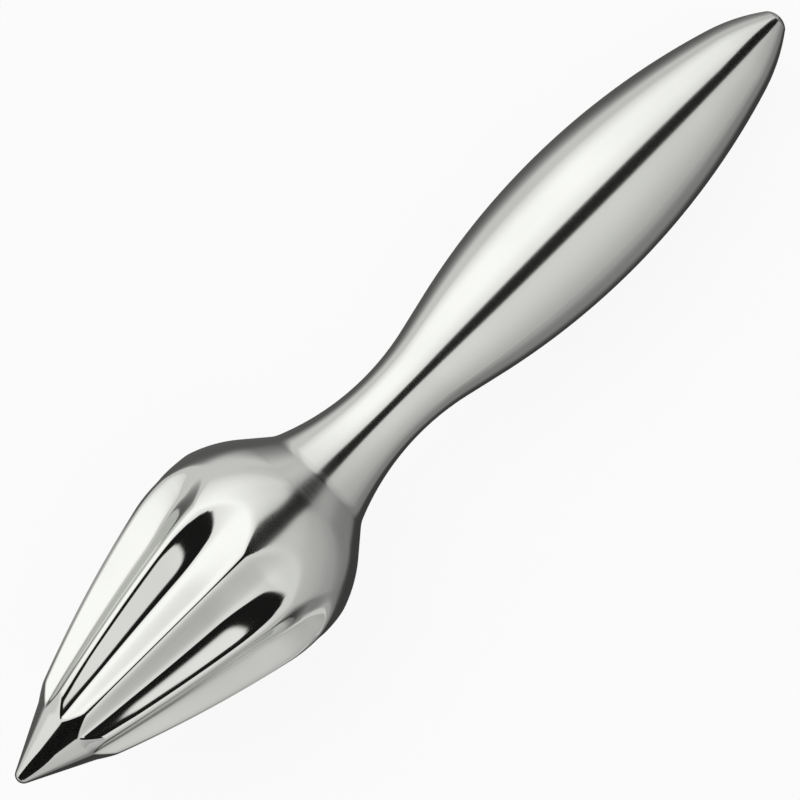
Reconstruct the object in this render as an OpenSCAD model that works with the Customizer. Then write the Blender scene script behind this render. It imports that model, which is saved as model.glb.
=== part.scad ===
// Hand citrus reamer, all stainless steel: a fluted head on a hollow waisted handle.
// Every piece is drawn about one axis, with distances measured from the tip of the head.
// The finished tool is then laid on its side, as it rests on a table.

/* [Head] */
// Radius of the rounded nose of the tip
nose_r = 1.4; // [0.8:0.1:1.6]
// Half angle of the bare cone at the tip
tip_angle = 26.5; // [25:0.5:28]
// Half angle of the chamfer that ends the ribs
chamfer_angle = 36; // [34:0.5:40]
// Distance from the tip to where the ribs begin
rib_start = 14; // [13.5:0.25:15]
// Radius over the ribs where they begin
rib_start_r = 8.5; // [8:0.1:9]
// Distance from the tip to the widest place
crown_at = 48.3; // [46:0.1:50]
// Largest radius of the head
crown_r = 18.3; // [17.5:0.1:19]
// Radius of the curve over the crown and shoulder
crown_curve = 22; // [20:0.5:24]
// Distance from the crown back to where the rib line meets its curve
rib_line_end = 5; // [4:0.25:6]
// Slope of the shoulder where it runs down to the neck
shoulder_angle = 40; // [38:0.5:42]

/* [Flutes] */
// Number of flutes round the head
flutes = 10; // [9:1:11]
// Distance from the tool's axis to a flute's own axis where the ribs begin
flute_near = 12; // [11.6:0.1:12.4]
// Slope of the flute's own axis
flute_angle = 22.5; // [21:0.5:24]
// How much of the sharp crest between two flutes is taken off
crest_trim = 0.15; // [0.1:0.05:0.3]
// Distance from the tip to where the flutes begin to scoop out
scoop_at = 46; // [44:0.5:47]
// Radius of the scoop that ends a flute
scoop_r = 14; // [10:1:20]

/* [Handle] */
// Distance from the tip to the waist of the neck
waist_at = 83.2; // [81:0.2:86]
// Radius of the waist
waist_r = 6.2; // [5.8:0.1:6.8]
// Radius of the hollow curve along the neck
neck_curve = 42; // [38:1:46]
// Radius of the fillet between shoulder and neck
fillet_r = 5; // [4:0.25:6]
// Distance from the waist to the belly of the handle
swell_length = 42.3; // [41:0.1:44]
// Radius of the belly
belly_r = 11.75; // [11:0.05:12]
// Steepest slope between waist and belly
swell_angle = 13; // [12.5:0.1:14]
// Distance from the belly to where the rear end turns in
rear_turn = 34.5; // [32:0.5:37]
// Radius of the curve that closes the rear end
rear_curve = 30; // [26:1:36]
// Wall of the handle's pressed shells
shell_wall = 1.2; // [0.8:0.1:1.4]

/* [End plug] */
// Radius of the plug's domed cap
plug_r = 2.05; // [1.9:0.05:2.4]
// Height of the dome
plug_dome = 0.8; // [0.5:0.1:1.2]
// Radius of the plug's stem in the vent hole
stem_r = 1.3; // [1:0.1:1.5]
// Length of the stem
stem_length = 3; // [2:0.5:5]

/* [Inside] */
// Radius of the stud that ties head and handle
stud_r = 3; // [2.5:0.25:3.25]
// Length of the stud inside the head
stud_in_head = 9; // [7:0.5:10]
// Length of the stud inside the neck insert
stud_in_neck = 16; // [12:1:18]
// Chamfer on the stud's two ends
stud_chamfer = 0.5; // [0.3:0.1:0.8]
// Steel left in the neck insert behind the stud
insert_floor = 4; // [3:0.5:6]
// Distance from the tip to the front of the head's cored hollow
core_start = 19; // [18.5:0.5:22]
// Radius of the hollow at its front
core_front_r = 4; // [3:0.5:4.5]
// Largest radius of the hollow
core_r = 11.5; // [10:0.5:12]
// Length of the hollow's widest band
core_band = 5; // [3:0.5:6]
// Solid length of the head in front of the neck, drilled for the stud
boss_length = 11; // [10.5:0.5:12]
// Radius of the boss's flat inner face
boss_face_r = 7; // [5:0.5:8]

/* [Fits] */
// Clearance round the stud, the stem and the neck insert
fit_gap = 0.08; // [0.05:0.01:0.1]

/* [Hidden] */
$fn = 240;
polished = "#d9dadb";
satin = "#c9cacb";
plain = "#a9abad";

// Points are written [radius, distance from the tip], and angles are taken from the first of these
arc_step = 2;
function unit(v) = v / norm(v);
function angle_of(v) = atan2(v[1], v[0]);
function arc(mid, radius, from, to) =
    let (steps = ceil(abs(to - from) / arc_step))
    [for (i = [0:steps]) let (a = from + (to - from) * i / steps) mid + radius * [cos(a), sin(a)]];

// The tip: a nose that runs into the bare cone, then the chamfer of the rib ends
nose_mid = [0, nose_r];
nose_end = [nose_r * cos(tip_angle), nose_r * (1 - sin(tip_angle))];
tip_apex = nose_r - nose_r / sin(tip_angle);
chamfer_apex = rib_start - rib_start_r / tan(chamfer_angle);
tip_slope = tan(tip_angle);
chamfer_slope = tan(chamfer_angle);
tip_end_at = (chamfer_apex * chamfer_slope - tip_apex * tip_slope) / (chamfer_slope - tip_slope);
tip_end = [(tip_end_at - tip_apex) * tip_slope, tip_end_at];

// The crown's curve, the cone of the shoulder behind it and the rib line before it
crown_mid = [crown_r - crown_curve, crown_at];
shoulder_out = [cos(shoulder_angle), sin(shoulder_angle)];
shoulder_down = [-sin(shoulder_angle), cos(shoulder_angle)];
shoulder_top = crown_mid + crown_curve * shoulder_out;
rib_first = [rib_start_r, rib_start];
rib_last = crown_mid + [sqrt(crown_curve ^ 2 - rib_line_end ^ 2), -rib_line_end];
rib_out = unit(rib_last - crown_mid);
rib_curve = norm(rib_last - rib_first) ^ 2 / (2 * (rib_last - rib_first) * rib_out);
rib_mid = rib_last - rib_curve * rib_out;
function rib_radius(s) = rib_mid[0] + sqrt(rib_curve ^ 2 - (s - rib_mid[1]) ^ 2);

// The waist's hollow curve, and the fillet that touches both it and the shoulder
neck_mid = [waist_r + neck_curve, waist_at];
fillet_from = shoulder_top + fillet_r * shoulder_out - neck_mid;
fillet_lean = fillet_from * shoulder_down;
fillet_step = sqrt(fillet_lean ^ 2 - fillet_from * fillet_from + (neck_curve - fillet_r) ^ 2) - fillet_lean;
fillet_mid = neck_mid + fillet_from + fillet_step * shoulder_down;
shoulder_foot = fillet_mid - fillet_r * shoulder_out;
neck_top = neck_mid + neck_curve * unit(fillet_mid - neck_mid);
joint_at = neck_top[1];

// The swell from waist to belly: two arcs joined by a short cone
swell_rise = belly_r - waist_r;
half_turn = tan(swell_angle / 2);
cone_length = (swell_length - swell_rise / half_turn) / (cos(swell_angle) - sin(swell_angle) / half_turn);
belly_curve = (swell_length - cone_length * cos(swell_angle)) / sin(swell_angle) - neck_curve;
belly_mid = [belly_r - belly_curve, waist_at + swell_length];

// The rear end: a tighter arc that carries the belly's curve on to the plug
rear_angle = asin(rear_turn / belly_curve);
rear_mid = belly_mid + (belly_curve - rear_curve) * [cos(rear_angle), sin(rear_angle)];
rear_end_at = rear_mid[1] + sqrt(rear_curve ^ 2 - (plug_r - rear_mid[0]) ^ 2);
dome_curve = (plug_r ^ 2 + plug_dome ^ 2) / (2 * plug_dome);
tool_length = rear_end_at + plug_dome;

// A flute is cut by a body turned about the flute's own axis, written [radius, distance along it].
// Two neighbours would meet on a sharp crest, so that crest line gives the cutter's radius.
half_pitch = 180 / flutes;
function cutter_point(s) =
    let (
        crest = rib_radius(s) + crest_trim,
        across = crest * sin(half_pitch),
        above = crest * cos(half_pitch) - flute_near,
        ahead = s - rib_start
    )
    [norm([across, above * cos(flute_angle) - ahead * sin(flute_angle)]),
     ahead * cos(flute_angle) + above * sin(flute_angle)];

// The arc through three such points, and where it gives way to the scoop
function arc_mid(a, b, c) =
    let (p = b - a, q = c - a, cross = 2 * (p[0] * q[1] - p[1] * q[0]))
    a + [q[1] * (p * p) - p[1] * (q * q), p[0] * (q * q) - q[0] * (p * p)] / cross;
cutter_mid = arc_mid(
    cutter_point(rib_start),
    cutter_point((rib_start + scoop_at) / 2),
    cutter_point(scoop_at)
);
cutter_curve = norm(cutter_point(scoop_at) - cutter_mid);
function cutter_arc(u) = [cutter_mid[0] - sqrt(cutter_curve ^ 2 - (u - cutter_mid[1]) ^ 2), u];
cutter_lead = 9;
scoop_sweep = 60;
cutter_first = cutter_arc(-cutter_lead);
cutter_last = cutter_arc(cutter_point(scoop_at)[1]);
scoop_mid = cutter_last - scoop_r * unit(cutter_mid - cutter_last);
scoop_end = scoop_mid + scoop_r * [cos(scoop_sweep), sin(scoop_sweep)];

// Fits between the pieces, and how far a hole's cutter runs past the face that it opens in
cut_past = 1;
bore_r = stud_r + fit_gap;
vent_r = stem_r + fit_gap;
insert_inset = shell_wall + fit_gap;
insert_length = stud_in_neck + insert_floor;

// How the tool lies: its axis slopes so that crown and belly both touch the table
between = belly_mid - crown_mid;
lie_angle = asin((crown_curve - belly_curve) / norm(between)) - atan2(between[0], between[1]);
axis_height = crown_mid[1] * sin(lie_angle) + crown_mid[0] * cos(lie_angle) + crown_curve;
front_x = nose_r * cos(lie_angle) - nose_r;
rear_x = (tool_length - dome_curve) * cos(lie_angle) + dome_curve;

// Lays a piece on the table, the head towards -X and the middle of the tool over the origin
module on_table() {
    translate([-(front_x + rear_x) / 2, 0, axis_height])
        rotate([0, 90 + lie_angle, 0])
            children();
}

// The region between an arc and its chord
module arc_cap(mid, radius, from, to) {
    out = unit((from + to) / 2 - mid) * radius;
    intersection() {
        translate(mid) circle(radius);
        polygon([from, to, to + out, from + out]);
    }
}

// Half outline of the head before it is fluted and hollowed
module head_outline() {
    difference() {
        union() {
            polygon([
                [0, 0], nose_end, tip_end, rib_first, rib_last,
                shoulder_top, shoulder_foot, neck_top, [0, joint_at]
            ]);
            arc_cap(nose_mid, nose_r, [0, 0], nose_end);
            arc_cap(rib_mid, rib_curve, rib_first, rib_last);
            arc_cap(crown_mid, crown_curve, rib_last, shoulder_top);
        }
        arc_cap(fillet_mid, fillet_r, shoulder_foot, neck_top);
    }
}

// Half outline of the head's hollow
module core_outline() {
    boss_at = joint_at - boss_length;
    polygon([
        [0, core_start],
        [core_front_r, core_start],
        [core_r, crown_at - core_band / 2],
        [core_r, crown_at + core_band / 2],
        [boss_face_r, boss_at],
        [0, boss_at]
    ]);
}

// The body that one flute removes, standing on its own axis
module flute_cutter() {
    rotate_extrude() {
        difference() {
            union() {
                polygon([
                    [0, cutter_first[1]], cutter_first, cutter_last,
                    scoop_end, [0, scoop_end[1]]
                ]);
                arc_cap(scoop_mid, scoop_r, cutter_last, scoop_end);
            }
            arc_cap(cutter_mid, cutter_curve, cutter_first, cutter_last);
        }
    }
}

// Half outline of the handle, drawn inside its outer skin by an inset and ended at a radius
module handle_outline(inset, end_r) {
    neck = neck_curve + inset;
    rear = rear_curve - inset;
    joint_angle = 180 + asin((waist_at - joint_at) / neck);
    end_angle = acos((end_r - rear_mid[0]) / rear);
    polygon(concat(
        [[0, joint_at]],
        arc(neck_mid, neck, joint_angle, 180 - swell_angle),
        arc(belly_mid, belly_curve - inset, -swell_angle, rear_angle),
        arc(rear_mid, rear, rear_angle + arc_step, end_angle),
        [[0, rear_mid[1] + rear * sin(end_angle)]]
    ));
}

// One half shell of the handle, on the side the angle points to
module handle_shell(angle) {
    rotate([0, 0, angle - 90])
        rotate_extrude(angle = 180) {
            difference() {
                handle_outline(0, plug_r);
                handle_outline(shell_wall, vent_r);
                translate([0, rear_end_at - shell_wall - cut_past])
                    square([vent_r, shell_wall + 2 * cut_past]);
            }
        }
}

// The cast head: fluted outside, cored inside and drilled for the stud
module reamer_head() {
    color(polished) on_table() {
        difference() {
            rotate_extrude() {
                difference() {
                    head_outline();
                    core_outline();
                    translate([0, joint_at - boss_length - cut_past])
                        square([bore_r, boss_length + 2 * cut_past]);
                }
            }
            for (i = [0:flutes - 1])
                rotate([0, 0, half_pitch * (2 * i + 1)])
                    translate([flute_near, 0, rib_start])
                        rotate([0, flute_angle, 0])
                            flute_cutter();
        }
    }
}

// The stud that draws head and neck together
module tie_stud() {
    front = joint_at - stud_in_head;
    back = joint_at + stud_in_neck;
    color(plain) on_table() {
        rotate_extrude() {
            polygon([
                [0, front], [stud_r - stud_chamfer, front], [stud_r, front + stud_chamfer],
                [stud_r, back - stud_chamfer], [stud_r - stud_chamfer, back], [0, back]
            ]);
        }
    }
}

// The waisted insert that the half shells close round
module neck_insert() {
    color(plain) on_table() {
        rotate_extrude() {
            difference() {
                intersection() {
                    handle_outline(insert_inset, vent_r);
                    translate([0, joint_at]) square([2 * belly_r, insert_length]);
                }
                translate([0, joint_at - cut_past]) square([bore_r, stud_in_neck + cut_past]);
            }
        }
    }
}

// Upper pressed half of the handle
module handle_shell_upper() {
    color(satin) on_table() {
        handle_shell(180);
    }
}

// Lower pressed half of the handle
module handle_shell_lower() {
    color(satin) on_table() {
        handle_shell(0);
    }
}

// Domed plug that closes the vent hole at the rear end
module end_plug() {
    color(satin) on_table() {
        rotate_extrude() {
            polygon(concat(
                [[0, rear_end_at - stem_length], [stem_r, rear_end_at - stem_length], [stem_r, rear_end_at]],
                arc([0, tool_length - dome_curve], dome_curve, acos(plug_r / dome_curve), 90)
            ));
        }
    }
}

reamer_head();
tie_stud();
neck_insert();
handle_shell_upper();
handle_shell_lower();
end_plug();
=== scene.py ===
# %% [markdown]
# # A steel hand reamer for citrus fruit
# The real tool is a fluted head on a hollow handle, all of stainless steel, lying on a white table and
# seen from straight above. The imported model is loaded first: it fixes the size and the place of every
# piece, and what follows dresses those pieces without moving them.

import math

import bpy
from mathutils import Matrix, Vector


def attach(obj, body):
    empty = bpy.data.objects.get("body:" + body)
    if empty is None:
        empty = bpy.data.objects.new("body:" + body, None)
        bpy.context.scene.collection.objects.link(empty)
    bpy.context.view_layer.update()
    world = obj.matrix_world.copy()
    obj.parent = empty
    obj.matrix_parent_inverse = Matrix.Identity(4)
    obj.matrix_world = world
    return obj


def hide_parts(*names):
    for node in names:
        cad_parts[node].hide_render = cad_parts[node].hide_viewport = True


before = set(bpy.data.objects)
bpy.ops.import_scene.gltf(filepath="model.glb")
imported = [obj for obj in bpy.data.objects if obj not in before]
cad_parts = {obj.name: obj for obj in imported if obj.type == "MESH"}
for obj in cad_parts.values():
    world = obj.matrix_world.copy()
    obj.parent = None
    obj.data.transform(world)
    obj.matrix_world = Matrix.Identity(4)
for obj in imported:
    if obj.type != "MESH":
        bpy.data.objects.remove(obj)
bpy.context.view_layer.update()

# %% [markdown]
# ## Sums on sockets
# Both the shapes and the finishes below are formulas. Wired by hand they would be long chains of Math
# nodes, so a small class wraps a socket: a plus sign adds a Math node, and one method makes any other node.


# %% A socket that can be used in a formula
class Wire:
    """One socket of a node tree, which Python's own operators turn into Math nodes."""

    def __init__(self, socket):
        self.socket = socket

    @staticmethod
    def node(tree, kind, settings=None, inputs=None, output=0):
        """Adds a node, sets its settings and then its inputs, and gives one of its outputs."""
        made = tree.nodes.new(kind)
        for name, value in (settings or {}).items():
            setattr(made, name, value)
        for key, value in (inputs or {}).items():
            if isinstance(value, Wire):
                tree.links.new(value.socket, made.inputs[key])
            else:
                made.inputs[key].default_value = value
        return Wire(made.outputs[output])

    def math(self, operation, *others):
        settings = {"operation": operation}
        return Wire.node(self.socket.id_data, "ShaderNodeMath", settings, dict(enumerate((self, *others))))

    def __add__(self, other):
        return self.math("ADD", other)

    __radd__ = __add__

    def __sub__(self, other):
        return self.math("SUBTRACT", other)

    def __rsub__(self, other):
        return self.math("MULTIPLY_ADD", -1.0, other)

    def __mul__(self, other):
        return self.math("MULTIPLY", other)

    __rmul__ = __mul__

    def __truediv__(self, other):
        return self.math("DIVIDE", other)

    def __lt__(self, other):
        return self.math("LESS_THAN", other)

    def __gt__(self, other):
        return self.math("GREATER_THAN", other)

    def squared(self):
        return self * self

    def root(self):
        return self.math("MAXIMUM", 0.0).math("SQRT")

    def ramp(self, start, end, low=0.0, high=1.0):
        """Goes smoothly from low to high while this value goes from start to end."""
        settings = {"interpolation_type": "SMOOTHSTEP"}
        inputs = {0: self, 1: start, 2: end, 3: low, 4: high}
        return Wire.node(self.socket.id_data, "ShaderNodeMapRange", settings, inputs)

    def rise(self, start, end, amount):
        """Nothing up to start, and the full amount from end on."""
        return self.ramp(start, end, 0.0, amount)

    def fall(self, start, end, amount):
        """The full amount up to start, and nothing from end on."""
        return self.ramp(start, end, amount, 0.0)


# %% Choosing between two formulas
def choose(value, limit, near, far):
    """near where the value is below the limit, and far where it is not."""
    mask = value < limit
    return near * mask + far * (1 - mask)


def by_side(is_left, left, right):
    """The left formula where the mask is one, and the right one where it is zero."""
    return right + (left - right) * is_left


# %% [markdown]
# ## The sizes
# Lengths are in millimetres, measured along the tool's axis from its tip. They are the ones that the model
# was built with, and the arcs that join them smoothly follow from them by a little trigonometry.

# %% Driving sizes
MM = 0.001

# A round nose, the bare cone of the tip, and the chamfer on which the ribs end
NOSE_R, TIP_ANGLE, CHAMFER_ANGLE = 1.4, math.radians(26.5), math.radians(36)
# Where the ribs start, their radius there, and how far before the crown their own curve ends
RIB_START, RIB_START_R, RIB_LINE_END = 14.0, 8.5, 5.0
# The crown, where the head is widest, and the cone of the shoulder behind it
CROWN_AT, CROWN_R, CROWN_CURVE, SHOULDER_ANGLE = 48.3, 18.3, 22.0, math.radians(40)
FLUTES = 10
# The waist, its hollow curve, and the fillet between that curve and the shoulder
WAIST_AT, WAIST_R, NECK_CURVE, FILLET_R = 83.2, 6.2, 42.0, 5.0
# From the waist to the belly of the handle
SWELL_LENGTH, SWELL_ANGLE, BELLY_R = 42.3, math.radians(13), 11.75
# Where the belly's curve turns into the tighter one of the rear, and the wall of the half shells
REAR_TURN, REAR_CURVE, SHELL_WALL = 34.5, 30.0, 1.2
# The plug, its stem, and the vent hole that the stem goes into
PLUG_R, PLUG_DOME, STEM_R, STEM_LENGTH, VENT_R = 2.05, 0.8, 1.3, 3.0, 1.38
print(f"head {2 * CROWN_R:.1f} mm wide, waist {2 * WAIST_R:.1f} mm, belly {2 * BELLY_R:.1f} mm")

# %% Arcs of the head
# Points are (distance from the tip, radius).
nose_end = NOSE_R * (1 - math.sin(TIP_ANGLE))
tip_apex = NOSE_R - NOSE_R / math.sin(TIP_ANGLE)
chamfer_apex = RIB_START - RIB_START_R / math.tan(CHAMFER_ANGLE)

crown_mid = Vector((CROWN_AT, CROWN_R - CROWN_CURVE))
rib_last = crown_mid + Vector((-RIB_LINE_END, math.sqrt(CROWN_CURVE**2 - RIB_LINE_END**2)))
rib_out = (rib_last - crown_mid).normalized()
rib_chord = rib_last - Vector((RIB_START, RIB_START_R))
rib_curve = rib_chord.length_squared / (2 * rib_chord.dot(rib_out))
rib_mid = rib_last - rib_curve * rib_out

# The fillet's middle slides down the shoulder until it is in touch with the neck's curve too.
shoulder_out = Vector((math.sin(SHOULDER_ANGLE), math.cos(SHOULDER_ANGLE)))
shoulder_down = Vector((math.cos(SHOULDER_ANGLE), -math.sin(SHOULDER_ANGLE)))
shoulder_top = crown_mid + CROWN_CURVE * shoulder_out
neck_mid = Vector((WAIST_AT, WAIST_R + NECK_CURVE))
slide_from = shoulder_top + FILLET_R * shoulder_out - neck_mid
lean = slide_from.dot(shoulder_down)
slide = math.sqrt(lean**2 - slide_from.length_squared + (NECK_CURVE - FILLET_R) ** 2) - lean
fillet_mid = neck_mid + slide_from + slide * shoulder_down
shoulder_foot = fillet_mid - FILLET_R * shoulder_out
joint = neck_mid + NECK_CURVE * (fillet_mid - neck_mid).normalized()
print(f"the ribs curve by {rib_curve:.1f} mm, and the head meets the handle at {joint.x:.2f} mm")

# %% Arcs of the handle
half_turn = math.tan(SWELL_ANGLE / 2)
cone_length = SWELL_LENGTH - (BELLY_R - WAIST_R) / half_turn
cone_length /= math.cos(SWELL_ANGLE) - math.sin(SWELL_ANGLE) / half_turn
belly_curve = (SWELL_LENGTH - cone_length * math.cos(SWELL_ANGLE)) / math.sin(SWELL_ANGLE) - NECK_CURVE
belly_mid = Vector((WAIST_AT + SWELL_LENGTH, BELLY_R - belly_curve))
swell_out = Vector((-math.sin(SWELL_ANGLE), math.cos(SWELL_ANGLE)))
swell_start = neck_mid - NECK_CURVE * swell_out
swell_end = belly_mid + belly_curve * swell_out
rear_out = Vector((REAR_TURN, math.sqrt(belly_curve**2 - REAR_TURN**2))).normalized()
rear_start = belly_mid + belly_curve * rear_out
rear_mid = rear_start - REAR_CURVE * rear_out
rear_end = rear_mid.x + math.sqrt(REAR_CURVE**2 - (PLUG_R - rear_mid.y) ** 2)
dome_curve = (PLUG_R**2 + PLUG_DOME**2) / (2 * PLUG_DOME)
tool_length = rear_end + PLUG_DOME
print(f"the handle ends at {rear_end:.2f} mm, and the tool is {tool_length:.2f} mm long")

# %% [markdown]
# ## How it lies
# On a table the tool rests on the crown of its head and on the belly of its handle. Both are arcs, so the
# line that touches the two gives the slope of the axis, and with it the place of every point on the tool.

# %% Slope of the axis and place of the tip
between = belly_mid - crown_mid
lie = math.asin((CROWN_CURVE - belly_curve) / between.length) - math.atan2(between.y, between.x)
front_x = NOSE_R * math.cos(lie) - NOSE_R
rear_x = (tool_length - dome_curve) * math.cos(lie) + dome_curve
axis_height = crown_mid.x * math.sin(lie) + crown_mid.y * math.cos(lie) + CROWN_CURVE
tip = Vector((-(front_x + rear_x) / 2, 0, axis_height))
along_axis = Vector((math.cos(lie), 0, -math.sin(lie)))
above_axis = Vector((math.sin(lie), 0, math.cos(lie)))
print(f"the axis slopes {math.degrees(lie):.2f} degrees, the tip is {tip.z:.2f} mm above the table")

# %% [markdown]
# ## Finishes
# All of it is one steel, finished two ways. The flutes, ribs and tip are polished like a mirror; the
# shoulder and the handle are rubbed with a fine belt while they turn, which leaves faint rings round the
# axis. A picture of scratches would need a map on every piece. Noise that is stretched round the axis
# needs none, and used as a bump it gives the rings. A mask that the head carries on its own mesh says
# where the satin begins.

# %% One steel, two finishes
STEEL = (0.720, 0.728, 0.697, 1.0)
STEEL_DULL = (0.643, 0.651, 0.622, 1.0)
POLISHED, SATIN, SHOULDER = 0.06, 0.13, 0.16
JOINT_RUB, JOINT_RUB_WIDTH = 0.03, 4.0
RINGS_PER_MM, RING_DRIFT_PER_MM, RING_DETAIL = 2.0, 0.08, 3.0
RING_DEPTH = 0.000005
CLOUD_SCALE, CLOUD_DETAIL, CLOUD_ROUGHNESS = 60.0, 2.0, 0.03
# Between these two values of the cloud, this share of the dull steel comes in.
CLOUD_DULLING = (0.35, 0.65, 0.35)


def steel(name, rubbed_to, satin=None):
    """Steel whose finish goes from polished to rubbed by a number, or by the mesh's own mask."""
    material = bpy.data.materials.new(name)
    material.use_nodes = True
    tree = material.node_tree
    shader = tree.nodes["Principled BSDF"]
    place = Wire.node(tree, "ShaderNodeTexCoord", output="Object")

    def run(direction):
        settings = {"operation": "DOT_PRODUCT"}
        return Wire.node(tree, "ShaderNodeVectorMath", settings, {0: place, 1: direction}, "Value")

    def noise(vector, scale, detail):
        inputs = {"Vector": vector, "Scale": scale, "Detail": detail}
        return Wire.node(tree, "ShaderNodeTexNoise", inputs=inputs)

    rings = {
        "X": run(along_axis) * (RINGS_PER_MM / MM),
        "Y": run((0, 1, 0)) * (RING_DRIFT_PER_MM / MM),
        "Z": run(above_axis) * (RING_DRIFT_PER_MM / MM),
    }
    rubbed = noise(Wire.node(tree, "ShaderNodeCombineXYZ", inputs=rings), 1.0, RING_DETAIL)
    cloud = noise(place, CLOUD_SCALE, CLOUD_DETAIL)
    if satin is None:
        satin = Wire.node(tree, "ShaderNodeAttribute", {"attribute_name": "satin"}, output="Fac")
    from_joint = (run(along_axis) / MM - (tip.dot(along_axis) + joint.x)).math("ABSOLUTE")
    rough = POLISHED + satin * (rubbed_to - POLISHED) + (cloud - 0.5) * CLOUD_ROUGHNESS
    rough = rough + from_joint.fall(0.0, JOINT_RUB_WIDTH, JOINT_RUB)
    shades = {"Factor": cloud.rise(*CLOUD_DULLING), "A": STEEL, "B": STEEL_DULL}
    tint = Wire.node(tree, "ShaderNodeMix", {"data_type": "RGBA"}, shades, "Result")
    relief = {"Height": rubbed * satin, "Strength": 1.0, "Distance": RING_DEPTH}
    bump = Wire.node(tree, "ShaderNodeBump", inputs=relief)
    shader.inputs["Metallic"].default_value = 1.0
    tree.links.new(rough.socket, shader.inputs["Roughness"])
    tree.links.new(tint.socket, shader.inputs["Base Color"])
    tree.links.new(bump.socket, shader.inputs["Normal"])
    return material


head_steel = steel("steel_polished_and_satin", SHOULDER)
handle_steel = steel("steel_satin", SATIN, 1.0)
inner_steel = steel("steel_turned_inside", SATIN, 1.0)
print("finishes:", head_steel.name, handle_steel.name, inner_steel.name)

# %% [markdown]
# ## Bent grids
# The head and the handle follow rules, so Geometry Nodes make them: a flat grid is bent until one of its ways
# runs along the axis and the other round it. The tree's sizes are named inputs, and the mesh that it makes is
# kept as a plain one, because a finished piece must not depend on its modifier.


# %% Start a tree
def start_tree(name, sizes):
    """A geometry tree with one named input for each size, and those inputs as wires."""
    tree = bpy.data.node_groups.new(name, "GeometryNodeTree")
    tree.interface.new_socket("Geometry", in_out="INPUT", socket_type="NodeSocketGeometry")
    tree.interface.new_socket("Geometry", in_out="OUTPUT", socket_type="NodeSocketGeometry")
    for label in sizes:
        tree.interface.new_socket(label, in_out="INPUT", socket_type="NodeSocketFloat")
    entry = tree.nodes.new("NodeGroupInput")
    return tree, {label: Wire(entry.outputs[label]) for label in sizes}


def unit_grid(tree, columns, rows):
    """A flat grid, and its two coordinates from 0 to 1."""
    inputs = {"Size X": 1.0, "Size Y": 1.0, "Vertices X": columns, "Vertices Y": rows}
    grid = Wire.node(tree, "GeometryNodeMeshGrid", inputs=inputs)
    place = Wire.node(tree, "GeometryNodeInputPosition")
    across = Wire.node(tree, "ShaderNodeSeparateXYZ", inputs={0: place}, output="X") + 0.5
    up = Wire.node(tree, "ShaderNodeSeparateXYZ", inputs={0: place}, output="Y") + 0.5
    return grid, across, up


# %% Bend the grid and finish the tree
MERGE_DISTANCE = 0.0000004
HARD_CORNER = math.radians(50)


def bend(tree, grid, distance, radius, turn):
    """Puts each point at its distance along the axis, its radius and its angle, taken from the top."""
    upward = radius * turn.math("COSINE")
    x = distance * along_axis.x + upward * above_axis.x + tip.x
    y = radius * turn.math("SINE")
    z = distance * along_axis.z + upward * above_axis.z + tip.z
    place = Wire.node(tree, "ShaderNodeCombineXYZ", inputs={"X": x * MM, "Y": y * MM, "Z": z * MM})
    return Wire.node(tree, "GeometryNodeSetPosition", inputs={"Geometry": grid, "Position": place})


def close_and_finish(tree, mesh, material):
    """Joins the grid's edges, smooths all but its hard corners, and sets the material."""
    joined = {"Geometry": mesh, "Distance": MERGE_DISTANCE}
    merged = Wire.node(tree, "GeometryNodeMergeByDistance", inputs=joined)
    smooth = Wire.node(tree, "GeometryNodeSetShadeSmooth", {"domain": "FACE"}, {"Geometry": merged})
    corner = Wire.node(tree, "GeometryNodeInputMeshEdgeAngle") > HARD_CORNER
    sharp = {"Geometry": smooth, "Selection": corner, "Shade Smooth": False}
    crisp = Wire.node(tree, "GeometryNodeSetShadeSmooth", {"domain": "EDGE"}, sharp)
    real = Wire.node(tree, "GeometryNodeRealizeInstances", inputs={"Geometry": crisp})
    dressed = Wire.node(tree, "GeometryNodeSetMaterial", inputs={"Geometry": real, "Material": material})
    leave = tree.nodes.new("NodeGroupOutput")
    tree.links.new(dressed.socket, leave.inputs["Geometry"])


# %% Keep the mesh that a tree makes
def face_outwards(mesh):
    """Turns a closed mesh's faces round if it comes out with a volume below nothing."""
    mesh.calc_loop_triangles()
    corners = [vertex.co for vertex in mesh.vertices]
    volume = sum(
        corners[a].dot(corners[b].cross(corners[c])) / 6
        for a, b, c in (triangle.vertices for triangle in mesh.loop_triangles)
    )
    if volume < 0:
        mesh.flip_normals()
    print(f"{mesh.name}: {len(mesh.loop_triangles)} triangles, {abs(volume) / MM**3:.0f} mm3")


def bake(name, tree, sizes):
    """Runs the tree on an empty piece, keeps the mesh that it makes and turns its faces outwards."""
    piece = bpy.data.objects.new(name, bpy.data.meshes.new("empty"))
    bpy.context.scene.collection.objects.link(piece)
    modifier = piece.modifiers.new(tree.name, "NODES")
    modifier.node_group = tree
    for item in tree.interface.items_tree:
        if item.in_out == "INPUT" and item.name in sizes:
            modifier[item.identifier] = float(sizes[item.name])
    graph = bpy.context.evaluated_depsgraph_get()
    mesh = bpy.data.meshes.new_from_object(
        piece.evaluated_get(graph), preserve_all_data_layers=True, depsgraph=graph
    )
    piece.modifiers.clear()
    piece.data = mesh
    mesh.name = name
    face_outwards(mesh)
    return piece


# %% [markdown]
# ## The fluted head
# The head is cast and then ground: ten straight flutes start in points beside the bare cone of the tip,
# deepen, and run out in round scoops under the shoulder. It could be cut with booleans, but the crests would
# stay sharp and the mirror would show every facet. So the radius of a bent grid is the lower of two formulas,
# the turned blank and the flute, with a soft change from one to the other. Rows crowd at both ends, and
# columns crowd at the crests and the flutes' bottoms, where the surface turns fastest.

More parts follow.
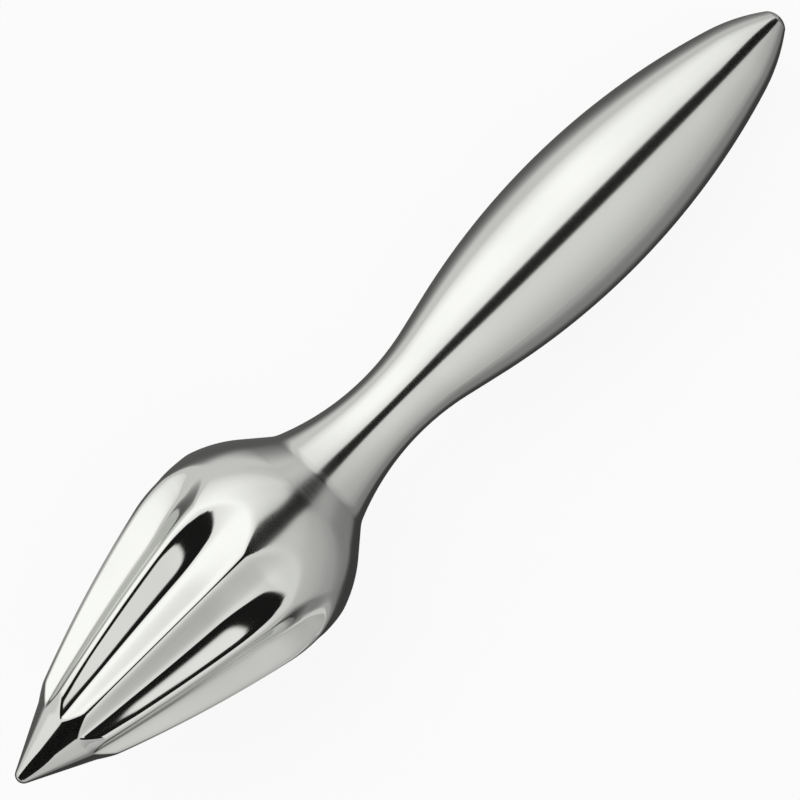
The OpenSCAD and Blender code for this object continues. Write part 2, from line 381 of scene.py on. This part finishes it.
# %% Sizes of the head
# Lengths are in millimetres; slopes and shares are plain numbers.
head_sizes = {
    "Nose radius": NOSE_R,
    "Tip slope": math.tan(TIP_ANGLE),
    "Chamfer slope": math.tan(CHAMFER_ANGLE),
    "Rib curve": rib_curve,
    "Crown curve": CROWN_CURVE,
    "Shoulder slope": math.tan(SHOULDER_ANGLE),
    "Fillet radius": FILLET_R,
    "Flutes": FLUTES,
    "Flank slope": 0.497,
    "Flank slope at foot": 0.445,
    "Flank slope at scoop": 0.24,
    "Bottom radius share": 0.045,
    "Crest rounding": 2.4,
    "Scoop start": 46.0,
    "Scoop onset": 1.5,
    "Scoop ease": 0.45,
    "Scoop squareness": 0.30,
    "Rib end softness": 0.12,
    "Rim softness": 0.15,
    "Scoop rim softness": 0.45,
    "Foot lift": 0.12,
    "Run-out start": 48.6,
    "Run-out onset": 0.7,
    "Run-out lift": 0.21,
    "Roll": math.radians(-1.1),
}
HEAD_COLUMNS_PER_FLUTE, HEAD_ROWS = 32, 290
NOSE_CROWDING, END_CROWDING, CREST_CROWDING = 0.03, 0.6, 0.55

head_tree, size = start_tree("fluted_head", head_sizes)
grid, across, up = unit_grid(head_tree, FLUTES * HEAD_COLUMNS_PER_FLUTE + 1, HEAD_ROWS)
print(f"head: {len(head_sizes)} named sizes, {HEAD_ROWS} rows, {HEAD_COLUMNS_PER_FLUTE} columns to a flute")

# %% The turned blank
# The last row lies on the axis and closes the rear face, so the row before it ends the outline.
last_row = 1.0 - 0.5 / (HEAD_ROWS - 1)
climb = (up * ((HEAD_ROWS - 1) / (HEAD_ROWS - 2))).math("MINIMUM", 1.0)
climb = climb - (climb * (2 * math.pi)).math("SINE") * (END_CROWDING / (2 * math.pi))
distance = climb * climb * (joint.x * (1 + NOSE_CROWDING)) / (climb + NOSE_CROWDING)

nose = (size["Nose radius"].squared() - (distance - size["Nose radius"]).squared()).root()
cone = (distance - tip_apex) * size["Tip slope"]
chamfer = (distance - chamfer_apex) * size["Chamfer slope"]
front = choose(distance, nose_end, nose, cone)
front = front.math("SMOOTH_MAX", chamfer, size["Rib end softness"])
rib = (size["Rib curve"].squared() - (distance - rib_mid.x).squared()).root() + rib_mid.y
crown = (size["Crown curve"].squared() - (distance - crown_mid.x).squared()).root() + crown_mid.y
shoulder = shoulder_top.y - (distance - shoulder_top.x) * size["Shoulder slope"]
fillet = fillet_mid.y - (size["Fillet radius"].squared() - (distance - fillet_mid.x).squared()).root()
body = choose(distance, shoulder_foot.x, shoulder, fillet)
body = choose(distance, shoulder_top.x, crown, body)
body = choose(distance, rib_last.x, rib, body)
blank = front.math("SMOOTH_MIN", body, size["Rib end softness"])
print("the blank takes", len(head_tree.nodes), "nodes")

# %% [markdown]
# A flute is a V in section with a small round bottom. Its flanks grow flatter at its foot and towards the
# scoop, and near the crown its bottom widens and climbs until it runs out. Two neighbours meet in a
# crest, which a smooth minimum rounds. Where its two sides are equal, a smooth minimum lies a sixth of its
# width below them, so the flutes are laid out on crests that are higher by that much.

# %% The angle from the flute's middle
pitch = 2 * math.pi / FLUTES
pitches = across * size["Flutes"]
whole = pitches.math("FLOOR")
part = pitches - whole
crowded = part - (part * (4 * math.pi)).math("SINE") * (CREST_CROWDING / (4 * math.pi))
turn = (whole + crowded) * pitch + size["Roll"]
aside = ((crowded - 0.5) * pitch).math("ABSOLUTE")
print(f"a flute every {math.degrees(pitch):.0f} degrees")

# %% The flute's section along the head
SMOOTH_MIN_DROP = 1 / 6
# Where along the head each change starts and where it ends
FOOT_EASE, SCOOP_EASE = (12.5, 22.0), (38.5, 51.5)
FOOT_LIFT_ENDS = (10.5, 13.5)


def growing(past, onset):
    """Nothing below zero and a straight line far above it, with a gentle start as long as the onset."""
    return (past.math("MAXIMUM", 0.0).squared() + onset.squared()).root() - onset


crest = body + size["Crest rounding"] * SMOOTH_MIN_DROP
slope = distance.ramp(*FOOT_EASE, size["Flank slope at foot"], size["Flank slope"])
slope = slope + (size["Flank slope at scoop"] - size["Flank slope"]) * distance.ramp(*SCOOP_EASE)
round_bottom = crest * size["Bottom radius share"]
reach = ((crest * math.sin(pitch / 2)).squared() + round_bottom.squared()).root() - round_bottom
level = crest * math.cos(pitch / 2) - slope * (reach + round_bottom)
level = level + distance.fall(*FOOT_LIFT_ENDS, size["Foot lift"])
level = level + growing(distance - size["Run-out start"], size["Run-out onset"]) * size["Run-out lift"]
scoop = growing(distance - size["Scoop start"], size["Scoop onset"]) * size["Scoop ease"]

# %% The flutes
RIM_EASE = (48.5, 52.5)


def flute_radius(angle):
    """Where the ray at that angle from the flute's middle meets the flute's bottom or flank."""
    spared = 1 - size["Scoop squareness"] * (angle / (pitch / 2)).squared()
    under = level.squared() - slope.squared() * ((scoop * spared).squared() + round_bottom.squared())
    share = 1 - (slope * angle.math("TANGENT")).squared()
    return (level + (level.squared() - share * under).root()) / share / angle.math("COSINE")


flute = flute_radius(aside).math("SMOOTH_MIN", flute_radius(pitch - aside), size["Crest rounding"])
mid_flute = 1 - (crowded * 2 - 1).squared()
softness = distance.ramp(*RIM_EASE) * mid_flute * size["Scoop rim softness"] + size["Rim softness"]
radius = blank.math("SMOOTH_MIN", flute, softness) * (up < last_row)
print("with its flutes, the head takes", len(head_tree.nodes), "nodes")

# %% The finished head
SATIN_STARTS, SATIN_RIM = (47.0, 51.0), (-0.5, 0.6)
rubbed_zone = distance.ramp(*SATIN_STARTS) * (flute - blank).ramp(*SATIN_RIM)
marked = Wire.node(
    head_tree,
    "GeometryNodeStoreNamedAttribute",
    {"data_type": "FLOAT", "domain": "POINT"},
    {"Geometry": grid, "Name": "satin", "Value": rubbed_zone},
)
close_and_finish(head_tree, bend(head_tree, marked, distance, radius, turn), head_steel)
head = bake("fluted_head", head_tree, head_sizes)

# %% [markdown]
# ## The handle
# The handle is two pressed half shells, welded along both sides and ground flush. A surface with Solidify
# would do, but a bent grid gives both walls at once: one way runs along the axis, the other runs round the
# outside of the half ring and back round its inside. The first and last rows close its ends.

# %% Outline of the handle
shell_sizes = {
    "Neck curve": NECK_CURVE,
    "Belly curve": belly_curve,
    "Rear curve": REAR_CURVE,
    "Swell slope": math.tan(SWELL_ANGLE),
    "Wall": SHELL_WALL,
    "Vent radius": VENT_R,
    "Start angle": 0.0,
}
SHELL_STEPS, SHELL_ROWS = 90, 300

shell_tree, size = start_tree("half_shell", shell_sizes)
grid, across, up = unit_grid(shell_tree, 2 * SHELL_STEPS + 1, SHELL_ROWS)
row = (up * (SHELL_ROWS - 1)).math("ROUND")
column = (across * (2 * SHELL_STEPS)).math("ROUND").math("MODULO", 2 * SHELL_STEPS)
climb = ((row - 1.0) / (SHELL_ROWS - 3)).math("MAXIMUM", 0.0).math("MINIMUM", 1.0)
distance = climb * (rear_end - joint.x) + joint.x

neck = neck_mid.y - (size["Neck curve"].squared() - (distance - neck_mid.x).squared()).root()
swell = (distance - swell_start.x) * size["Swell slope"] + swell_start.y
belly = (size["Belly curve"].squared() - (distance - belly_mid.x).squared()).root() + belly_mid.y
rear = (size["Rear curve"].squared() - (distance - rear_mid.x).squared()).root() + rear_mid.y
skin = choose(distance, rear_start.x, belly, rear)
skin = choose(distance, swell_end.x, swell, skin)
skin = choose(distance, swell_start.x, neck, skin)
print("the outline takes", len(shell_tree.nodes), "nodes")

# %% Half shells
inside = column > SHELL_STEPS - 0.5
open_row = (row > 0.5) * (row < SHELL_ROWS - 1.5)
lining = (skin - size["Wall"]).math("MAXIMUM", size["Vent radius"])
radius = skin + (lining - skin) * inside.math("MAXIMUM", 1 - open_row)
there = column / (SHELL_STEPS - 1)
back = (2 * SHELL_STEPS - 1 - column) / (SHELL_STEPS - 1)
turn = (there + (back - there) * inside) * math.pi + size["Start angle"]

close_and_finish(shell_tree, bend(shell_tree, grid, distance, radius, turn), handle_steel)
upper_shell = bake("handle_upper_half", shell_tree, shell_sizes | {"Start angle": -math.pi / 2})
lower_shell = bake("handle_lower_half", shell_tree, shell_sizes | {"Start angle": math.pi / 2})

# %% [markdown]
# ## The end plug
# A small domed plug closes the vent hole at the rear. It is turned on a lathe, so its outline is a short
# list of points. A Screw modifier could spin them, but plain mesh code closes the two poles cleanly.

# %% Outline of the plug
PLUG_STEPS, DOME_STEPS = 64, 14
dome_mid = tool_length - dome_curve
dome_start = math.asin(PLUG_R / dome_curve)
outline = [(rear_end - STEM_LENGTH, 0.0), (rear_end - STEM_LENGTH, STEM_R), (rear_end, STEM_R)]
for i in range(DOME_STEPS + 1):
    angle = dome_start * (1 - i / DOME_STEPS)
    outline.append((dome_mid + dome_curve * math.cos(angle), dome_curve * math.sin(angle)))
print("plug outline:", len(outline), "points")

# %% Spin it
ON_AXIS = 1e-6
PLUG_CORNER = math.radians(40)


def spin(name, outline, steps, material):
    """A closed mesh turned from an outline that starts and ends on the axis."""
    points, faces, rings = [], [], []
    for distance, radius in outline:
        count = steps if radius > ON_AXIS else 1
        rings.append(range(len(points), len(points) + count))
        for i in range(count):
            angle = 2 * math.pi * i / steps
            offset = above_axis * (radius * math.cos(angle)) + Vector((0, radius * math.sin(angle), 0))
            points.append((tip + along_axis * distance + offset) * MM)
    for near, far in zip(rings, rings[1:]):
        for i in range(steps):
            j = (i + 1) % steps
            corners = [near[i % len(near)], near[j % len(near)], far[j % len(far)], far[i % len(far)]]
            faces.append(list(dict.fromkeys(corners)))
    mesh = bpy.data.meshes.new(name)
    mesh.from_pydata(points, [], faces)
    mesh.shade_smooth()
    mesh.set_sharp_from_angle(angle=PLUG_CORNER)
    mesh.materials.append(material)
    face_outwards(mesh)
    piece = bpy.data.objects.new(name, mesh)
    bpy.context.scene.collection.objects.link(piece)
    return piece


plug = spin("rear_plug", outline, PLUG_STEPS, handle_steel)

# %% [markdown]
# ## Tie the pieces to the frame
# Each visible piece stands for one node of the model and rides on its only body. The stud and the insert in
# the neck are closed in by the rest, so they keep their own meshes and only get a finish.

# %% Ride, replace and finish
PIECES = [
    (head, "reamer_head", "polished_steel"),
    (upper_shell, "handle_shell_upper", "satin_steel"),
    (lower_shell, "handle_shell_lower", "satin_steel"),
    (plug, "end_plug", "satin_steel"),
]
for piece, node, slot in PIECES:
    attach(piece, "root")
    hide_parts(node)
    print(piece.name, "stands for", node)
for name in ("tie_stud", "neck_insert"):
    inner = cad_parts[name]
    inner.data.materials.clear()
    inner.data.materials.append(inner_steel)
    print(name, "keeps its own mesh")

# %% [markdown]
# ## Light
# Polished steel shows nothing but its surroundings, so these are built as a studio would build them: a white
# tent over the table, lit more from the tool's left, with a dark slit overhead that the camera looks through.
# Lamps and cloth would do it too, but the tent is far away, so it is the world itself, painted by direction.
# The slit is painted by the angle off the upright plane through the tool, and the light by two others: one
# is taken sideways from straight up, the other along the tool.

# %% Directions on the tent
world = bpy.data.worlds.new("light_tent")
world.use_nodes = True
bpy.context.scene.world = world
tree = world.node_tree
direction = Wire.node(tree, "ShaderNodeTexCoord", output="Generated")
x, y, z = (Wire.node(tree, "ShaderNodeSeparateXYZ", inputs={0: direction}, output=name) for name in "XYZ")
sideways = y.math("ABSOLUTE").math("ARCTAN2", z) * math.degrees(1)
rearward = x.math("ARCTAN2", (y.squared() + z.squared()).root()) * math.degrees(1)
tipward = 0 - rearward
off_plane = y.math("ABSOLUTE").math("ARCSINE") * math.degrees(1)
is_left = y > 0.0

# %% [markdown]
# A change along the tent is written as three numbers: the angle where it starts and the angle where it
# ends, both in degrees, and how much it changes. The slit opens out beyond the tip and narrows to the rear.

# %% The dark slit
SLIT_LEFT, SLIT_RIGHT, SLIT_SOFT = 10.0, 11.0, 1.2
REAR_NARROWING_LEFT, REAR_NARROWING_RIGHT = (40.0, 66.0, 3.5), (45.0, 66.0, 1.2)
HEAD_WIDENING_LEFT, HEAD_NARROWING_RIGHT = (12.0, 25.0, 0.5), (12.0, 25.0, 1.5)
TIP_OPENING_LEFT, TIP_OPENING_RIGHT = (32.0, 38.0, 12.0), (32.0, 38.0, 18.0)

left_edge = SLIT_LEFT - rearward.rise(*REAR_NARROWING_LEFT)
left_edge = left_edge + tipward.rise(*HEAD_WIDENING_LEFT) + tipward.rise(*TIP_OPENING_LEFT)
right_edge = SLIT_RIGHT - rearward.rise(*REAR_NARROWING_RIGHT)
right_edge = right_edge - tipward.rise(*HEAD_NARROWING_RIGHT) + tipward.rise(*TIP_OPENING_RIGHT)
lit = (off_plane - by_side(is_left, left_edge, right_edge)).ramp(-SLIT_SOFT, SLIT_SOFT)
print(f"the slit is {SLIT_LEFT + SLIT_RIGHT:.0f} degrees wide overhead")

# %% The light of the tent
LEFT_LEVEL, RIGHT_LEVEL, DARK_LEVEL = 1.01, 0.85, 0.011
LEFT_BRIGHTENING, HEAD_LOWERING = (5.0, 42.0, 0.30), (5.0, 26.0, 10.0)
LEFT_DIMMING_LOW, LEFT_DIMMING_TIP = (62.0, 104.0, 0.58), (25.0, 41.0, 0.35)
RIGHT_DIMMING_LOW, RIGHT_DIMMING_TIP = (24.0, 112.0, 0.37), (34.0, 44.0, 0.20)
RIGHT_BRIGHTENING_HEAD = (5.0, 26.0, 0.12)
REAR_FADING_LEFT, REAR_FADING_RIGHT = (10.0, 75.0, 0.34), (10.0, 75.0, 0.22)
REAR_FADING_EASED_LOW, END_FADING = (60.0, 90.0, 0.6), (70.0, 91.0, 0.60)

low = sideways - tipward.rise(*HEAD_LOWERING)
left_light = LEFT_LEVEL + sideways.rise(*LEFT_BRIGHTENING) - low.rise(*LEFT_DIMMING_LOW)
left_light = left_light - tipward.rise(*LEFT_DIMMING_TIP)
right_light = RIGHT_LEVEL - sideways.rise(*RIGHT_DIMMING_LOW) + tipward.rise(*RIGHT_BRIGHTENING_HEAD)
right_light = right_light - tipward.rise(*RIGHT_DIMMING_TIP)
faded = by_side(is_left, rearward.rise(*REAR_FADING_LEFT), rearward.rise(*REAR_FADING_RIGHT))
faded = faded * (1 - sideways.rise(*REAR_FADING_EASED_LOW)) + rearward.rise(*END_FADING)
light = by_side(is_left, left_light, right_light) * (1 - faded)
light = DARK_LEVEL + (light - DARK_LEVEL) * lit
print(f"overhead the tent is {LEFT_LEVEL} bright on the left and {RIGHT_LEVEL} on the right")

# %% Light the world, and leave the background white
to_camera = Wire.node(tree, "ShaderNodeLightPath", output="Is Camera Ray")
light = light + (1 - light) * to_camera
colour = Wire.node(tree, "ShaderNodeCombineColor", inputs={0: light, 1: light, 2: light})
tree.links.new(colour.socket, tree.nodes["Background"].inputs["Color"])
bpy.context.scene.view_settings.view_transform = "Standard"
print("tent:", len(tree.nodes), "nodes")

# %% [markdown]
# ## Table
# The table is white paper. A brighter lamp would whiten it, but would burn out the steel as well, so the
# camera and the steel see the paper mostly with a glow of its own. The rest of it is lit by the tent,
# which keeps the tool's shadow.

# %% White table
PAPER = (0.95, 0.95, 0.95, 1.0)
WHITE = (1.0, 1.0, 1.0, 1.0)
PAPER_GLOW = 0.9
TABLE_NEAR, TABLE_FAR = (-10.0, -10.0, 10.0), (10.0, -10.0, 10.0)


def sheet(name, near, far, height, material):
    """A flat sheet between two edges, each given as (x, lowest y, highest y)."""
    corners = [(near[0], near[1]), (far[0], far[1]), (far[0], far[2]), (near[0], near[2])]
    mesh = bpy.data.meshes.new(name)
    mesh.from_pydata([(x, y, height) for x, y in corners], [], [(0, 1, 2, 3)])
    mesh.materials.append(material)
    piece = bpy.data.objects.new(name, mesh)
    bpy.context.scene.collection.objects.link(piece)
    print(f"{name}: a studio sheet {height / MM:.1f} mm above the table")
    return piece


def two_shaders(name, first, second, mask):
    """A material that goes from one shader to the other by a mask, which is made from its node tree."""
    material = bpy.data.materials.new(name)
    material.use_nodes = True
    tree = material.node_tree
    tree.nodes.remove(tree.nodes["Principled BSDF"])
    shaders = [Wire.node(tree, kind, inputs={"Color": colour}) for kind, colour in (first, second)]
    mixed = Wire.node(tree, "ShaderNodeMixShader", inputs={0: mask(tree), 1: shaders[0], 2: shaders[1]})
    tree.links.new(mixed.socket, tree.nodes["Material Output"].inputs["Surface"])
    return material


def seen_directly(tree):
    """The share of the paper's own glow, for the camera and for what the steel mirrors."""
    to_camera = Wire.node(tree, "ShaderNodeLightPath", output="Is Camera Ray")
    to_steel = Wire.node(tree, "ShaderNodeLightPath", output="Is Glossy Ray")
    return to_camera.math("MAXIMUM", to_steel) * PAPER_GLOW


plain, glowing = ("ShaderNodeBsdfDiffuse", PAPER), ("ShaderNodeEmission", WHITE)
sheet("table", TABLE_NEAR, TABLE_FAR, 0.0, two_shaders("white_paper", plain, glowing, seen_directly))

# %% [markdown]
# ## A painted shadow that only the steel sees
# On white paper alone the tool would lose its outline, because its edges would mirror nothing but white. The
# real one has dark edges, where it mirrors the table in its own shadow. So a card with that shadow painted on
# it lies on the table, and only reflections see it: the painted shadow darkens towards the tool, more on the
# right than on the left, and lets the paper through further away.
# Its changes are three numbers too: where one starts, where it ends, and how much it changes. They run
# along the table in millimetres, or by the angle along the tool in degrees. Where there are only two, a
# factor goes from nothing to one between them.

# %% Sizes of the painted ground shadow
CARD_HEIGHT = 0.0002
BLACK = (0.0, 0.0, 0.0, 1.0)
# Painted shadow of the tool on the table: its ends, its reach beside the head, and how light it gets away
# from the tool.
GROUND_FRONT, GROUND_REAR_LEFT, GROUND_REAR_RIGHT = -82.0, 58.0, 72.0
GROUND_UNDER_HEAD = (-16.0, 2.0, 18.0)
LEFT_GROUND, LEFT_GROUND_RISE = 0.12, (18.0, 67.0, 0.66)
LEFT_REAR_DIP, LEFT_REAR_DIP_ENDS = (70.0, 150.0, 0.12), (90.0, 250.0, 1.0)
RIGHT_GROUND, RIGHT_GROUND_RISES = 0.055, [(18.0, 31.0, 0.22), (35.0, 105.0, 0.17), (90.0, 400.0, 0.08)]
RIGHT_TIP_RISE, RIGHT_TIP_RISE_STARTS = (-26.0, -5.0, 0.12), (40.0, 120.0)
HEAD_PATCH_FRONT, HEAD_PATCH_REAR, HEAD_PATCH = (-80.0, -66.0), (-52.0, -42.0), 0.31
GROUND_REAR_FADE, GROUND_END_FADE = (10.0, 75.0, 0.08), (70.0, 91.0, 0.60)
GROUND_FADE_STARTS = (60.0, 300.0)
BRIGHTEST_GROUND = 0.78


# %% Painted shadow on the ground
def painted_shadow(tree):
    """How dark the painted shadow on the ground is, by its distance in mm from the line below the tool."""
    place = Wire.node(tree, "ShaderNodeTexCoord", output="Object")
    x = Wire.node(tree, "ShaderNodeSeparateXYZ", inputs={0: place}, output="X") / MM
    y = Wire.node(tree, "ShaderNodeSeparateXYZ", inputs={0: place}, output="Y") / MM
    is_left = y > 0.0
    past_rear = x - by_side(is_left, GROUND_REAR_LEFT, GROUND_REAR_RIGHT)
    past_end = past_rear.math("MAXIMUM", GROUND_FRONT - x).math("MAXIMUM", 0.0)
    away = (past_end.squared() + y.squared()).root() - x.fall(*GROUND_UNDER_HEAD)
    rearward = x.math("ARCTAN2", y.math("ABSOLUTE")) * math.degrees(1)
    left = LEFT_GROUND + away.rise(*LEFT_GROUND_RISE)
    left = left - x.rise(*LEFT_REAR_DIP) * away.fall(*LEFT_REAR_DIP_ENDS)
    right = RIGHT_GROUND + rearward.fall(*RIGHT_TIP_RISE) * away.ramp(*RIGHT_TIP_RISE_STARTS)
    for change in RIGHT_GROUND_RISES:
        right = right + away.rise(*change)
    faded = rearward.rise(*GROUND_REAR_FADE) + rearward.rise(*GROUND_END_FADE)
    faded = faded * away.ramp(*GROUND_FADE_STARTS)
    beside_head = x.ramp(*HEAD_PATCH_FRONT) - x.ramp(*HEAD_PATCH_REAR)
    bright = by_side(is_left, left, right) * (1 - faded) + beside_head * HEAD_PATCH
    return 1 - bright.math("MINIMUM", BRIGHTEST_GROUND)


def reflections_only(piece):
    """Hides a sheet from the camera and from the table, so that only the steel mirrors it."""
    piece.visible_camera = False
    piece.visible_diffuse = False
    piece.visible_transmission = False
    piece.visible_shadow = False


# The card paints the tool's shadow on the table, which only the steel mirrors.
clear, black = ("ShaderNodeBsdfTransparent", WHITE), ("ShaderNodeBsdfDiffuse", BLACK)
shade = two_shaders("painted_ground_shadow", clear, black, painted_shadow)
reflections_only(sheet("painted_ground_shadow", TABLE_NEAR, TABLE_FAR, CARD_HEIGHT, shade))

# %% [markdown]
# Two black flags hang low beyond the ends, as a studio hangs them to keep highlights off a curved end. They
# keep the dark line as wide at the tip and at the rear end as it is between them. The slit alone could not,
# because a far slit shrinks to a point in a cone or a dome, and a near flag does not.

# %% Black flags
REAR_FLAG_HEIGHT, TIP_FLAG_HEIGHT = 0.036, 0.034
REAR_FLAG_NEAR, REAR_FLAG_FAR = (0.090, -0.0026, 0.0055), (0.360, -0.0566, 0.0717)
TIP_FLAG_NEAR, TIP_FLAG_FAR = (-0.080, -0.0008, 0.0017), (-0.108, -0.0265, 0.0162)
BLACK_CARD = (0.016, 0.016, 0.016, 1.0)

flag_card = bpy.data.materials.new("black_card")
flag_card.use_nodes = True
flag_shader = flag_card.node_tree.nodes["Principled BSDF"]
flag_shader.inputs["Base Color"].default_value = BLACK_CARD
flag_shader.inputs["Specular IOR Level"].default_value = 0.0
reflections_only(sheet("rear_flag", REAR_FLAG_NEAR, REAR_FLAG_FAR, REAR_FLAG_HEIGHT, flag_card))
reflections_only(sheet("tip_flag", TIP_FLAG_NEAR, TIP_FLAG_FAR, TIP_FLAG_HEIGHT, flag_card))

# %% [markdown]
# ## Camera
# The picture is taken from straight above with a long lens, and the tool runs across it from lower left to
# upper right. The camera's own right and up directions are written out, which turns the picture without
# turning the tool.

# %% Place the camera
CAMERA_HEIGHT = 2.0
LENS = 569.3
AXIS_IN_PICTURE = (0.70607, 0.70814)
CAMERA_X, CAMERA_Y = -0.00025, -0.00029
picture_right = Vector((AXIS_IN_PICTURE[0], -AXIS_IN_PICTURE[1], 0))
picture_up = Vector((AXIS_IN_PICTURE[1], AXIS_IN_PICTURE[0], 0))
camera_data = bpy.data.cameras.new("camera")
camera_data.lens = LENS
camera = bpy.data.objects.new("camera", camera_data)
turned = Matrix((picture_right, picture_up, (0, 0, 1))).transposed().to_4x4()
camera.matrix_world = Matrix.Translation((CAMERA_X, CAMERA_Y, CAMERA_HEIGHT)) @ turned
bpy.context.scene.collection.objects.link(camera)
bpy.context.scene.camera = camera
print(f"camera: {LENS} mm lens, {CAMERA_HEIGHT} m above the table")
